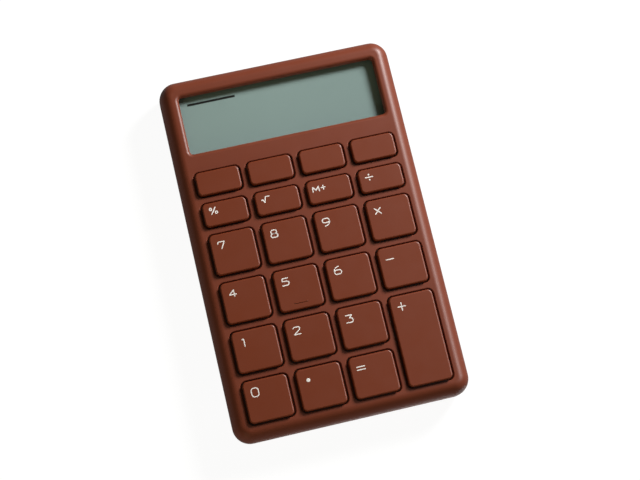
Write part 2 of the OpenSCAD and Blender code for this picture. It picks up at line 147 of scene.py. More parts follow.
# Feet: the rounded edge and the steps of the tread, as inset and height
FOOT_ROUND = 0.4 * MM
FOOT_STEPS = 6
TREAD = ((1.3 * MM, 0), (1.45 * MM, 0.12 * MM), (1.6 * MM, 0.16 * MM))

# Keycaps
CAP_R = 1.5 * MM
CAP_ROUND = 0.5 * MM
CAP_WALL = 1 * MM
KEY_CLEAR = (0.62 * MM, 0.44 * MM)
FLANGE = 0.98 * MM
FLANGE_T = 0.8 * MM
NECK_R = 2.2 * MM
NECK_LAP = 0.5 * MM
LOW_CAP_L = 10 * MM
HOME_BAR = (4.4 * MM, 0.45 * MM)
HOME_BAR_Y = -4.5 * MM

# Printed figures
INK_W = 0.325 * MM
INK_T = 0.024 * MM
FIGURE_AT = (-3.59 * MM, 2.85 * MM)
LOW_FIGURE_AT = (-3.72 * MM, 1.1 * MM)

# Dark bar that the display shows at its upper left
BAR_LEFT, BAR_RIGHT, BAR_Y = -29.96 * MM, -14.1 * MM, 51.3 * MM
BAR_W = 0.74 * MM
BAR_R = 0.08 * MM
BAR_WALL_T = 0.01 * MM
BAR_T = 0.03 * MM
BAR_EDGE = 0.02 * MM

# Steps of each kind of curve, and sides of round pieces
CORNER_STEPS = 10
RIM_STEPS = 20
ROUND_STEPS = 4
SECTOR_STEPS = 10
BEND_STEPS = 5
FINE_SIDES = 96
ROUND_SIDES = 64
POST_SIDES = 32

# Places and sizes of the CAD's parts
KEYS = [name for name in frame["nodes"] if name.startswith("key_")]
case_lo, case_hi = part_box("top_shell")
rear_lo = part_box("rear_cover")[0]
lens_lo, lens_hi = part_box("display_window")
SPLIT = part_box("main_board")[0].z
FACE = case_hi.z
PLATE = lens_hi.z
CASE_W = case_hi.x - case_lo.x
CASE_L = case_hi.y - case_lo.y
INNER_W = CASE_W - 2 * SIDE_WALL
INNER_L = CASE_L - 2 * SIDE_WALL
INNER_R = CORNER_R - SIDE_WALL
BOARD_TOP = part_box("main_board")[1].z
CAP_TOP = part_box("key_0")[1].z


# ---------------------------------------------------------------- modelling

def deselect():
    """Leaves object mode with nothing selected, so that an operator acts only on what is made next."""
    if bpy.context.object and bpy.context.object.mode != "OBJECT":
        bpy.ops.object.mode_set(mode="OBJECT")
    bpy.ops.object.select_all(action="DESELECT")


def activate(piece):
    """Makes the piece the only selected object and the one that operators act on."""
    deselect()
    piece.select_set(True)
    bpy.context.view_layer.objects.active = piece


def edit(piece):
    """Opens edit mode on the piece with all of it selected."""
    activate(piece)
    bpy.ops.object.mode_set(mode="EDIT")
    bpy.ops.mesh.select_all(action="SELECT")


def done(name):
    """Closes edit mode with the faces turned outwards and gives the piece its name."""
    bpy.ops.mesh.select_all(action="SELECT")
    bpy.ops.mesh.normals_make_consistent(inside=False)
    bpy.ops.object.mode_set(mode="OBJECT")
    piece = bpy.context.object
    piece.name = name
    piece.data.name = name
    return piece


def select(kind, test):
    """In edit mode, selects only the edges or the faces whose corners all pass the test."""
    bpy.ops.mesh.select_mode(type=kind)
    bpy.ops.mesh.select_all(action="DESELECT")
    mesh = bmesh.from_edit_mesh(bpy.context.object.data)
    for part in mesh.edges if kind == "EDGE" else mesh.faces:
        part.select_set(all(test(v.co) for v in part.verts))
    bmesh.update_edit_mesh(bpy.context.object.data)


def rounded_block(name, centre, size, radius, profile, pocket=None):
    """Closed block with rounded corners.

    profile lists (inset, height), and each step goes inwards or straight. pocket is (wall, height): a hollow
    pushed into the first face, up or down to that height.
    """
    deselect()
    inset, height = profile[0]
    bpy.ops.mesh.primitive_plane_add(size=1, enter_editmode=True)
    bpy.ops.transform.resize(value=(size[0] - 2 * inset, size[1] - 2 * inset, 1))
    bpy.ops.transform.translate(value=(centre[0], centre[1], height))
    bpy.ops.mesh.bevel(offset=radius - inset, segments=CORNER_STEPS, affect="VERTICES", clamp_overlap=False)
    return raise_walls(name, profile, pocket)


def turned(name, centre, radius, profile, pocket=None, sides=ROUND_SIDES):
    """Closed round shape about an upright line, with a profile and a pocket as for rounded_block."""
    deselect()
    inset, height = profile[0]
    bpy.ops.mesh.primitive_circle_add(
        vertices=sides, radius=radius - inset, fill_type="NGON", enter_editmode=True)
    bpy.ops.transform.translate(value=(centre[0], centre[1], height))
    return raise_walls(name, profile, pocket)


def raise_walls(name, profile, pocket):
    """Takes the face being edited along the profile, closes its start and pushes the pocket into that."""
    bpy.ops.mesh.select_mode(type="VERT")
    bpy.ops.mesh.select_all(action="SELECT")
    for (inset, height), (next_inset, next_height) in zip(profile, profile[1:]):
        if next_inset > inset:
            bpy.ops.mesh.inset(thickness=next_inset - inset)
        else:
            bpy.ops.mesh.extrude_region()
        bpy.ops.transform.translate(value=(0, 0, next_height - height))
    bpy.ops.mesh.select_all(action="DESELECT")
    bpy.ops.mesh.select_non_manifold()
    bpy.ops.mesh.edge_face_add()
    if pocket:
        wall, height = pocket
        start = profile[0][1]
        select("FACE", lambda co: abs(co.z - start) < SAME)
        bpy.ops.mesh.inset(thickness=wall)
        bpy.ops.mesh.extrude_region()
        bpy.ops.transform.translate(value=(0, 0, height - start))
    return done(name)


def post(name, centre, radius, low, high):
    """Upright round bar between two heights."""
    return turned(name, centre, radius, [(0, low), (0, high)], sides=POST_SIDES)


def sector(name, radii, heights, sweep, turn):
    """Part of a ring about the battery door's axis, with its middle at the angle turn, in degrees."""
    deselect()
    bpy.ops.mesh.primitive_plane_add(size=1, enter_editmode=True)
    bpy.ops.transform.rotate(value=radians(90), orient_axis="X", center_override=(0, 0, 0))
    bpy.ops.transform.resize(value=(radii[1] - radii[0], 1, heights[1] - heights[0]))
    bpy.ops.transform.translate(value=((radii[0] + radii[1]) / 2, 0, (heights[0] + heights[1]) / 2))
    bpy.ops.mesh.spin(steps=SECTOR_STEPS, angle=radians(sweep), center=(0, 0, 0), axis=(0, 0, 1))
    piece = done(name)
    start = Matrix.Rotation(radians(turn + sweep / 2), 4, "Z")
    piece.data.transform(Matrix.Translation((DOOR.x, DOOR.y, 0)) @ start)
    return piece


def join(name, pieces):
    """Makes one object of the pieces, whose meshes stay separate bodies in it."""
    activate(pieces[0])
    for piece in pieces:
        piece.select_set(True)
    bpy.ops.object.join()
    pieces[0].name = name
    pieces[0].data.name = name
    return pieces[0]


def combine(piece, others, operation):
    """Adds the other solids, which don't overlap one another, to the piece or cuts them out of it."""
    tool = join("tool", others)
    activate(piece)
    bpy.ops.object.modifier_add(type="BOOLEAN")
    boolean = piece.modifiers[-1]
    boolean.operation = operation
    boolean.solver = "EXACT"
    boolean.object = tool
    bpy.ops.object.modifier_apply(modifier=boolean.name)
    bpy.data.objects.remove(tool)
    return piece


def shade(piece, angle=35):
    """Smooth shading with flat faces kept flat."""
    activate(piece)
    bpy.ops.object.shade_smooth_by_angle(angle=radians(angle))
    bpy.ops.object.modifier_add(type="WEIGHTED_NORMAL")
    piece.modifiers[-1].keep_sharp = True
    bpy.ops.object.modifier_apply(modifier=piece.modifiers[-1].name)
    return piece


def copy_of(piece, source, node, name):
    """Copy with its own mesh, moved sideways by the way from the CAD node source to another one."""
    copy = piece.copy()
    copy.data = piece.data.copy()
    bpy.context.scene.collection.objects.link(copy)
    copy.name = name
    offset = middle(node) - middle(source)
    copy.data.transform(Matrix.Translation((offset.x, offset.y, 0)))
    return copy


def arc(steps):
    """Angles along a quarter turn, in radians."""
    return [radians(90) * i / steps for i in range(steps + 1)]


def round_over(radius, height, inset):
    """Profile of an edge that rounds over inwards from the inset, below a top at height."""
    return [(inset + radius * (1 - cos(a)), height - radius * (1 - sin(a))) for a in arc(ROUND_STEPS)]


def round_under(radius, height, steps):
    """Profile of an edge that rounds over inwards on its way down to a lowest face at height."""
    return [(radius * (1 - cos(a)), height + radius * (1 - sin(a))) for a in arc(steps)]


def flare(radius, height, end, steps=ROUND_STEPS):
    """Profile of a cutter that rounds the edge of its hole, from outside a face at height to its end."""
    way = 1 if end > height else -1
    rounded = [(radius * sin(a), height + way * radius * (1 - cos(a))) for a in arc(steps)]
    return [(0, height - way * CUT_PAST)] + rounded + [(radius, end)]


def stepped(wide, narrow, face, step, end):
    """Profile of a cutter for a hole, flared at its face, that narrows at a step."""
    return flare(MOUTH_ROUND, face, step) + [(wide - narrow, step), (wide - narrow, end)]


def middle(node):
    """Middle of a CAD node's box."""
    lo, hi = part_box(node)
    return (lo + hi) / 2


def cap_size(node):
    """Width and length of a key's cap above its flange."""
    lo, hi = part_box(node)
    return (hi.x - lo.x - 2 * FLANGE, hi.y - lo.y - 2 * FLANGE)


def gaps(nodes, along):
    """Places, along X (0) or Y (1), halfway between each node of a line and the next."""
    line = sorted((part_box(node) for node in nodes), key=lambda box: box[0][along])
    return [(near[1][along] + far[0][along]) / 2 for near, far in zip(line, line[1:])]


GAP_X = gaps(["key_0", "key_point", "key_equals", "key_plus"], 0)
GAP_Y = gaps(["key_0", "key_1", "key_4", "key_7", "key_percent", "key_function_1"], 1)
SCREW_Y = (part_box("key_0")[0].y + FLANGE - BOSS_OUT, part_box("key_function_1")[1].y - FLANGE + BOSS_OUT)
CASE_SCREWS = [(x, y) for x in (GAP_X[0], GAP_X[2]) for y in SCREW_Y]
BOARD_SCREWS = [(GAP_X[i], GAP_Y[j]) for i, j in ((1, 0), (0, 1), (2, 1), (0, 3), (2, 3), (1, 4))]
DOOR = middle("battery_door")
FEET = [node for node in frame["nodes"] if node.startswith("foot_")]


# ---------------------------------------------------------------- materials

class Value:
    """A shader socket. Python's operators on it add the Math nodes that do them."""

    def __init__(self, tree, socket):
        self.tree = tree
        self.socket = socket

    def maths(self, operation, *operands):
        """Adds the Math node that does the operation on the operands."""
        return self.tree.node("Math", {"operation": operation}, dict(enumerate(operands)))

    def __add__(self, other):
        return self.maths("ADD", self, other)

    def __radd__(self, other):
        return self.maths("ADD", other, self)

    def __sub__(self, other):
        return self.maths("SUBTRACT", self, other)

    def __rsub__(self, other):
        return self.maths("SUBTRACT", other, self)

    def __mul__(self, other):
        return self.maths("MULTIPLY", self, other)

    def __rmul__(self, other):
        return self.maths("MULTIPLY", other, self)


class Nodes:
    """Emptied node tree: node() adds any node to it, and the other methods are its common cases."""

    def __init__(self, tree):
        self.tree = tree
        self.tree.nodes.clear()

    def node(self, kind, settings=None, inputs=None, output=0):
        """Adds a node: its settings first, then the values or links of its sockets. Gives one output."""
        made = self.tree.nodes.new("ShaderNode" + kind)
        for key, value in (settings or {}).items():
            if key == "stops":
                self.set_stops(made.color_ramp, value)
            else:
                setattr(made, key, value)
        for key, value in (inputs or {}).items():
            if isinstance(value, Value):
                self.tree.links.new(value.socket, made.inputs[key])
            else:
                made.inputs[key].default_value = value
        return Value(self, made.outputs[output]) if made.outputs else None

    @staticmethod
    def set_stops(ramp, stops):
        """Gives a colour ramp its stops, each a position and a colour."""
        while len(ramp.elements) < len(stops):
            ramp.elements.new(0.5)
        for element, (position, colour) in zip(ramp.elements, stops):
            element.position = position
            element.color = colour

    def mix(self, factor, a, b):
        """Colour between a and b."""
        return self.node("Mix", {"data_type": "RGBA"}, {0: factor, 6: a, 7: b}, output=2)

    def ramp(self, value, stops):
        """Colour that the stops give a value."""
        return self.node("ValToRGB", {"stops": stops}, {0: value})


class Material(Nodes):
    """Node tree of a new material, whose patterns lie in the object's own coordinates."""

    def __init__(self, name):
        self.material = bpy.data.materials.new(name)
        self.material.use_nodes = True
        super().__init__(self.material.node_tree)
        self.place = self.node("TexCoord", output="Object")

    def noise(self, size, detail=2.0, roughness=0.5):
        """Noise from 0 to 1 whose patches are about size metres across."""
        return self.node("TexNoise", {}, {"Vector": self.place, "Scale": 1 / size, "Detail": detail,
                                          "Roughness": roughness})

    def bump(self, height, depth):
        """Normal of a surface whose height, from 0 to 1, stands for depth metres."""
        return self.node("Bump", {}, {"Height": height, "Distance": depth, "Strength": 1.0})

    def finish(self, **inputs):
        """Principled surface with the given sockets, underscores standing for spaces."""
        named = {key.replace("_", " "): value for key, value in inputs.items()}
        return self.surface(self.node("BsdfPrincipled", {}, named))

    def surface(self, shader):
        """Ends the material with the shader and gives the material."""
        self.node("OutputMaterial", {}, {"Surface": shader})
        return self.material


def srgb(*channels):
    """Linear colour of an sRGB one given from 0 to 255."""
    linear = [c / 255 / 12.92 if c <= 10 else ((c / 255 + 0.055) / 1.055) ** 2.4 for c in channels]
    return (*linear, 1.0)


def grey(level):
    """Linear grey from 0 to 1."""
    return (level, level, level, 1)


def dimmed(tone, share):
    """The tone at that share of its brightness."""
    return tuple(share * c for c in tone[:3]) + (1.0,)


def moulded_plastic(name, light, dark, roughness, shine, grain):
    """Matt moulded plastic with flow marks, an uneven sheen and a fine grain of the given depth."""
    m = Material(name)
    flow = m.noise(18 * MM, detail=3)
    speck = m.noise(0.22 * MM, detail=2)
    fine = m.noise(0.09 * MM, detail=1)
    tone = m.mix(flow * 0.6 + speck * 0.4, dark, light)
    grain_height = speck * 0.65 + fine * 0.35
    return m.finish(
        Base_Color=tone,
        Roughness=roughness + (m.noise(6 * MM) - 0.5) * 0.08 + (speck - 0.5) * 0.1,
        Specular_IOR_Level=shine,
        Normal=m.bump(grain_height, grain))


def rubber(name, light, dark):
    """Dull rubber, foam or resin with a fine uneven surface."""
    m = Material(name)
    speck = m.noise(0.3 * MM, detail=3)
    return m.finish(Base_Color=m.mix(speck, dark, light), Roughness=0.72 + speck * 0.12,
                    Normal=m.bump(speck, 0.02 * MM))


def ink(name, tone, roughness):
    """Printed ink with faint thin places."""
    m = Material(name)
    wear = m.noise(0.35 * MM, detail=3)
    covered = m.ramp(wear, [(0.35, grey(0)), (0.6, grey(1))])
    return m.finish(Base_Color=m.mix(covered, dimmed(tone, 0.8), tone), Roughness=roughness + wear * 0.1,
                    Normal=m.bump(wear, 0.004 * MM))


def metal(name, tone, roughness, brushed=0.0):
    """Bare metal with fine drawn lines, which stand brushed metres high."""
    m = Material(name)
    lines = m.node("Mapping", {}, {"Vector": m.place, "Scale": (1, 12, 1)})
    fibre = m.node("TexNoise", {}, {"Vector": lines, "Scale": 1 / (0.8 * MM), "Detail": 3.0})
    return m.finish(Base_Color=m.mix(fibre, dimmed(tone, 0.82), tone), Metallic=1.0,
                    Roughness=roughness + fibre * 0.12, Normal=m.bump(fibre, brushed))


def clear_lens(name):
    """Clear acrylic, nearly invisible but for its sheen and a few fine specks."""
    m = Material(name)
    speck = m.noise(0.4 * MM, detail=2)
    return m.finish(Base_Color=srgb(18, 20, 14), Roughness=0.06 + speck * 0.03, Alpha=0.07 + speck * 0.02,
                    Specular_IOR_Level=0.35)


def display_film(name, light, dark):
    """Grey-green reflective display surface: a fine even grain, and painted shade that makes it dimmer
    towards its right end.
    """
    m = Material(name)
    across = m.node("SeparateXYZ", {}, {0: m.place}) * (1 / lens_hi.x)
    cloud = m.noise(24 * MM, detail=1)
    grain = m.noise(0.12 * MM, detail=2)
    # Painted shade: the film darkens towards its right end, where the lamps light it more strongly.
    painted_shade = m.ramp(across * 0.5 + 0.5, [(0, grey(0)), (0.45, grey(0.2)), (1, grey(1))])
    tone = m.mix(painted_shade * 0.8 + cloud * 0.12 + grain * 0.08, light, dark)
    return m.finish(Base_Color=tone, Roughness=0.38 + grain * 0.08)


def board_green(name):
    """Green solder resist over the board's tracks."""
    m = Material(name)
    tracks = m.node("TexBrick", {"offset": 0.5}, {
        "Vector": m.place, "Scale": 1 / (9 * MM), "Mortar Size": 0.03, "Color1": srgb(24, 84, 48),
        "Color2": srgb(30, 96, 56), "Mortar": srgb(70, 140, 90)}, output="Color")
    rise = m.noise(0.4 * MM)
    return m.finish(Base_Color=tracks, Roughness=0.35 + rise * 0.1, Normal=m.bump(rise, 0.01 * MM))


case_plastic = moulded_plastic("case_plastic", srgb(123, 58, 37), srgb(114, 52, 32),
                               roughness=0.42, shine=0.42, grain=0.006 * MM)
cap_plastic = moulded_plastic("cap_plastic", srgb(120, 51, 23), srgb(112, 46, 19),
                              roughness=0.4, shine=0.52, grain=0.006 * MM)
white_ink = ink("legend_ink", srgb(255, 250, 245), roughness=0.45)
black_ink = ink("display_ink", srgb(12, 14, 14), roughness=0.4)
FINISHES = {
    "case": case_plastic,
    "key_cap": cap_plastic,
    "silicone": rubber("silicone", srgb(210, 205, 196), srgb(196, 190, 180)),
    "carbon": rubber("carbon_pill", srgb(36, 36, 36), srgb(22, 22, 22)),
    "circuit_board": board_green("circuit_board"),
    "black_resin": rubber("black_resin", srgb(30, 30, 32), srgb(18, 18, 20)),
    "can": metal("capacitor_can", srgb(92, 96, 116), roughness=0.3),
    "cell_steel": metal("cell_steel", srgb(204, 204, 202), roughness=0.22),
    "spring_metal": metal("spring_metal", srgb(208, 184, 126), roughness=0.2),
    "clear_window": clear_lens("clear_lens"),
    # The darker of the film's two tones is painted shade towards its right end.
    "polariser": display_film("display_film", srgb(156, 180, 175), srgb(139, 162, 158)),
    "display_glass": clear_lens("display_glass"),
    "reflector": metal("reflector", srgb(176, 186, 178), roughness=0.35),
    "foam": rubber("foam", srgb(66, 66, 68), srgb(48, 48, 50)),
    # The frame's dark grey is partly its own colour and partly painted shade for the dark edge of the window.
    "frame_plastic": rubber("frame_plastic", srgb(46, 48, 46), srgb(36, 38, 36)),
    "contact_rubber": rubber("contact_rubber", srgb(216, 211, 201), srgb(120, 116, 110)),
    "screw_steel": metal("screw_steel", srgb(178, 178, 175), roughness=0.28, brushed=0.004 * MM),
    "foot_rubber": rubber("foot_rubber", srgb(50, 41, 38), srgb(38, 31, 28)),
}


def add_piece(piece, body, material, nodes=()):
    """Says what body the piece rides on, its finish, and any nodes that it stands for."""
    piece.data.materials.clear()
    piece.data.materials.append(material)
    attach(piece, body)
    if nodes:
        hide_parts(*nodes)


# ---------------------------------------------------------------- case

def rim(width, low, high):
    """Quarter of an ellipse that turns inwards from height low to height high, either way up."""
    return [(width * (1 - cos(a)), low + (high - low) * sin(a)) for a in arc(RIM_STEPS)]


def bevel_seam(shell):
    """Breaks the shell's edges at the parting line."""
    edit(shell)
    select("EDGE", lambda co: abs(co.z - SPLIT) < SAME)
    bpy.ops.mesh.bevel(offset=SEAM, segments=2, affect="EDGES")
    done(shell.name)


def upper_case():
    """Upper shell: hollow, with the window, the key holes, the bored bosses and two slots for the hooks."""
    case = rounded_block("upper_case", (0, 0), (CASE_W, CASE_L), CORNER_R, rim(RIM_W, SPLIT, FACE))
    bevel_seam(case)
    inner = [(0, SPLIT - CUT_PAST)] + rim(RIM_W - SIDE_WALL, SPLIT, PLATE)
    hollow = rounded_block("hollow", (0, 0), (INNER_W, INNER_L), INNER_R, inner)
    combine(case, [hollow], "DIFFERENCE")
    combine(case, [key_hole(key) for key in KEYS] + [window_hole()], "DIFFERENCE")
    bosses = [post("boss", at, BOSS_R, BOSS_Z, PLATE + LAP) for at in CASE_SCREWS]
    bosses += [post("boss", at, BOARD_BOSS_R, BOARD_TOP, PLATE + LAP) for at in BOARD_SCREWS]
    combine(case, bosses, "UNION")
    case_tip, board_tip = (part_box(node)[1].z + BORE_PAST_TIP for node in ("case_screws", "board_screws"))
    cutters = [post("bore", at, CASE_BORE_R, BOSS_Z - CUT_PAST, case_tip) for at in CASE_SCREWS]
    cutters += [post("bore", at, BOARD_BORE_R, BOARD_TOP - CUT_PAST, board_tip) for at in BOARD_SCREWS]
    low = SPLIT + HOOK_LIFT - HOOK_GAP
    cutters += [rounded_block(
        "hook_slot", (side * HOOK_X, INNER_L / 2), (HOOK_W + 2 * HOOK_GAP, 2 * HOOK_OUT), SHARP,
        [(0, low), (0, low + HOOK_H + 2 * HOOK_GAP)]) for side in (-1, 1)]
    combine(case, cutters, "DIFFERENCE")
    return shade(case)


def key_hole(key):
    """Cutter for a cap's hole, with a rounded mouth."""
    size = [cap_size(key)[i] + 2 * (KEY_CLEAR[i] + HOLE_ROUND) for i in (0, 1)]
    return rounded_block("hole", middle(key), size, CAP_R + KEY_CLEAR[1] + HOLE_ROUND,
                         flare(HOLE_ROUND, FACE, PLATE - CUT_PAST))


def window_hole():
    """Cutter for the display's window, with a wide soft lip."""
    size = [lens_hi[i] - lens_lo[i] + 2 * (WINDOW_SLOPE + WINDOW_LEAD[i] - LENS_LAP) for i in (0, 1)]
    return rounded_block("window", middle("display_window") + Vector((0, WINDOW_SHIFT, 0)), size,
                         WINDOW_R + WINDOW_LEAD[0],
                         flare(WINDOW_ROUND, FACE, PLATE - WINDOW_CUT_PAST, steps=WINDOW_STEPS))


def rear_lip():
    """Lip that stands inside the upper shell, open where a boss comes down, with two hooks at the back."""
    step = LIP_GAP + LIP_LAP
    lip = rounded_block(
        "lip", (0, 0), (INNER_W + 2 * LIP_LAP, INNER_L + 2 * LIP_LAP), INNER_R + LIP_LAP,
        [(0, SPLIT - LIP_H), (0, SPLIT), (step, SPLIT), (step, SPLIT + LIP_H)])
    inset = LIP_GAP + LIP_T
    ends = [(0, SPLIT - 2 * LIP_H), (0, SPLIT + 2 * LIP_H)]
    room = rounded_block("room", (0, 0), (INNER_W - 2 * inset, INNER_L - 2 * inset), INNER_R - inset, ends)
    combine(lip, [room], "DIFFERENCE")
    combine(lip, [turned("boss_way", at, BOSS_R + BOSS_GAP, ends) for at in CASE_SCREWS], "DIFFERENCE")
    return combine(lip, [lip_hook(-1), lip_hook(1)], "UNION")


def lip_hook(side):
    """Hook on the lip's back face, flat under and sloping on top."""
    root, high = INNER_L / 2 - LIP_GAP - SHARP, SPLIT + HOOK_LIFT + HOOK_H
    deselect()
    bpy.ops.mesh.primitive_cube_add(size=1, enter_editmode=True)
    bpy.ops.transform.resize(value=(HOOK_W, HOOK_OUT + SHARP, HOOK_H))
    bpy.ops.transform.translate(value=(side * HOOK_X, root + (HOOK_OUT + SHARP) / 2, high - HOOK_H / 2))
    select("EDGE", lambda co: co.y > root + HOOK_OUT and co.z > high - WELD)
    bpy.ops.transform.translate(value=(0, 0, HOOK_EDGE - HOOK_H))
    return done("hook")


def rear_case():
    """Rear shell: the lip, the screw posts, the cell's cup and the seats of the door, screws and feet."""
    back = rear_lo.z
    floor = back + FLOOR_WALL
    case = rounded_block("rear_case", (0, 0), (CASE_W, CASE_L), CORNER_R,
                         [(0, SPLIT)] + rim(REAR_RIM_W, back + REAR_RIM_H, back), pocket=(SIDE_WALL, floor))
    bevel_seam(case)
    inside = [post("post", at, POST_R, floor - LAP, BOSS_Z - POST_GAP) for at in CASE_SCREWS]
    inside.append(turned("cup", DOOR, CUP_R, [(0, floor - LAP), (0, CUP_TOP)]))
    combine(case, inside, "UNION")
    combine(case, [rear_lip()], "UNION")
    step = TAB_ROOM_R - CUP_INNER_R
    tab_top = floor + TAB_ROOM_H
    room = turned("room", DOOR, TAB_ROOM_R,
                  [(0, floor), (0, tab_top), (step, tab_top), (step, CUP_TOP + CUT_PAST)])
    combine(case, [room], "DIFFERENCE")
    ways = [sector("notch", (CUP_INNER_R, TAB_R + DOOR_GAP), (back + DOOR_T, floor + CUT_LAP), NOTCH_SWEEP,
                   turn + DOOR_TURN) for turn in TABS]
    ways.append(rounded_block(
        "leaf_way", (DOOR.x, DOOR.y - CUP_R / 2 - CUT_PAST), (LEAF_WAY_W, CUP_R), SHARP,
        [(0, tab_top), (0, CUP_TOP + CUT_PAST)]))
    combine(case, ways, "DIFFERENCE")
    seat_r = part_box("battery_door")[1].x + DOOR_GAP + MOUTH_ROUND
    seat = stepped(seat_r, PLUG_R + PLUG_GAP, back, back + DOOR_T + CUT_LAP, floor + LAP)
    cutters = [turned("seat", DOOR, seat_r, seat, sides=FINE_SIDES)]
    hole_r = SCREW_HOLE_R + MOUTH_ROUND
    screw_hole = stepped(hole_r, SHANK_HOLE_R, back, SCREW_SEAT_Z, BOSS_Z)
    cutters += [turned("screw_hole", at, hole_r, screw_hole) for at in CASE_SCREWS]
    for foot in FEET:
        radius = (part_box(foot)[1].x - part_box(foot)[0].x) / 2 + FOOT_GAP
        cutters.append(turned("foot_seat", middle(foot), radius + MOUTH_ROUND,
                              flare(MOUTH_ROUND, back, back + FOOT_SEAT)))
    for turn, radius in CASE_MARKS:
        at = DOOR + Matrix.Rotation(radians(turn - 90), 3, "Z") @ Vector((CASE_MARK_AT, 0, 0))
        cutters.append(round_mark(at, radius, back))
    combine(case, cutters, "DIFFERENCE")
    return shade(case)


def round_mark(at, radius, face):
    """Cutter for a shallow round mark in a face that looks down."""
    return turned("mark", at, radius, flare(MARK_ROUND, face, face + MARK_DEPTH), sides=POST_SIDES)


def battery_door():
    """Round door with its plug and three tabs, a coin slot, and a mark that shows how far it is turned."""
    lo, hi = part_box("battery_door")
    radius = (hi.x - lo.x) / 2
    rim_z = lo.z + DOOR_T
    floor = rear_lo.z + FLOOR_WALL
    door = turned("door", DOOR, radius, [(0, rim_z)] + round_under(DOOR_ROUND, lo.z, ROUND_STEPS),
                  pocket=(radius - PLUG_R, floor), sides=FINE_SIDES)
    width, length, depth = COIN_SLOT
    # Its ends are a little short of half circles, so that the arcs of two corners don't meet
    slot = rounded_block("slot", DOOR, (width + 2 * MOUTH_ROUND, length + 2 * MOUTH_ROUND),
                         length / 2 + MOUTH_ROUND * 0.6, flare(MOUTH_ROUND, lo.z, lo.z + depth))
    mark = round_mark(DOOR + Vector((0, DOOR_MARK_FROM_EDGE - radius, 0)), DOOR_MARK_R, lo.z)
    groove = turned("groove", DOOR, GROOVE_OUTER_R, flare(GROOVE_ROUND, lo.z, lo.z + MARK_DEPTH),
                    sides=FINE_SIDES)
    island = turned("island", DOOR, GROOVE_INNER_R,
                    [(0, lo.z + 2 * MARK_DEPTH), (0, lo.z + GROOVE_CHAMFER), (GROOVE_CHAMFER, lo.z),
                     (GROOVE_CHAMFER, lo.z - 2 * CUT_PAST)], sides=FINE_SIDES)
    combine(groove, [island], "DIFFERENCE")
    combine(door, [slot, mark, groove], "DIFFERENCE")
    for outer_r, tab_low in ((TAB_ROOT_R, floor - TAB_ROOT_LAP), (TAB_R, hi.z - TAB_H)):
        tabs = [sector("tab", (TAB_INNER_R, outer_r), (tab_low, hi.z), TAB_SWEEP, turn) for turn in TABS]
        combine(door, tabs, "UNION")
    return shade(door)


def rubber_foot(node):
    """Rubber foot with a rounded edge and a shallow dish in its tread."""
    lo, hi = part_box(node)
    edge = round_under(FOOT_ROUND, lo.z, FOOT_STEPS)
    tread = [(inset, lo.z + rise) for inset, rise in TREAD]
    return shade(turned(node.replace("foot", "rubber"), middle(node), (hi.x - lo.x) / 2,
                        [(0, hi.z)] + edge + tread))


# ---------------------------------------------------------------- keys

def keycap(node):
    """Cap with a flange under the face, hollow but for the neck that presses each dome."""
    lo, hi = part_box(node)
    flange_top = lo.z + FLANGE_T
    cap = rounded_block(
        node.replace("key_", "cap_"), middle(node), (hi.x - lo.x, hi.y - lo.y), CAP_R + FLANGE,
        [(0, lo.z), (0, flange_top), (FLANGE, flange_top)] + round_over(CAP_ROUND, CAP_TOP, FLANGE),
        pocket=(FLANGE + CAP_WALL, CAP_TOP - CAP_WALL))
    rows = ["key_0", "key_1"] if node == "key_plus" else [node]
    necks = [post("neck", (middle(node).x, middle(row).y), NECK_R, lo.z, CAP_TOP - NECK_LAP) for row in rows]
    return shade(combine(cap, necks, "UNION"))


def add_home_bar(cap, node):
    """Low ridge that a finger finds, near the front edge of the cap."""
    width, length = HOME_BAR
    reach = (width - length) / 2 / MM
    ridge = join("ridge", stroke([(-reach, 0), (reach, 0)], 0, length))
    at = middle(node)
    lay_flat(ridge, (at.x, at.y + HOME_BAR_Y, CAP_TOP), (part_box(node)[1].z - CAP_TOP) / (length / 2))
    join(cap.name, [cap, ridge])


def keycaps():
    """All caps, by node: the first of each length is modelled, and the others are its copies."""
    caps, first = {}, {}
    for node in KEYS:
        length = round(cap_size(node)[1] / MM)
        if length in first:
            source = first[length]
            caps[node] = copy_of(caps[source], source, node, node.replace("key_", "cap_"))
        else:
            first[length] = node
            caps[node] = keycap(node)
    for node, cap in caps.items():
        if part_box(node)[1].z > CAP_TOP + WELD:
            add_home_bar(cap, node)
    return caps


def place_of_figure(node):
    """Centre of a key's figure: near its rear left corner, on the double key as on the key beside it."""
    row = "key_1" if node == "key_plus" else node
    x, y = LOW_FIGURE_AT if cap_size(row)[1] < LOW_CAP_L else FIGURE_AT
    return (middle(node).x + x, middle(row).y + y)


def bar(width, height, x=0.0, y=0.0):
    """Straight stroke from corner to corner of a box about (x, y)."""
    return [(x - width / 2, y - height / 2), (x + width / 2, y + height / 2)], 0


def dot(diameter, x=0.0, y=0.0):
    """Round dot at (x, y)."""
    return [(x, y)], diameter


def ring(width, height, bend, x=0.0, y=0.0):
    """Closed stroke along the edges of a box about (x, y), with rounded corners."""
    corners = [(x - width / 2, y - height / 2), (x + width / 2, y - height / 2),
               (x + width / 2, y + height / 2), (x - width / 2, y + height / 2)]
    return corners + corners[:1], bend


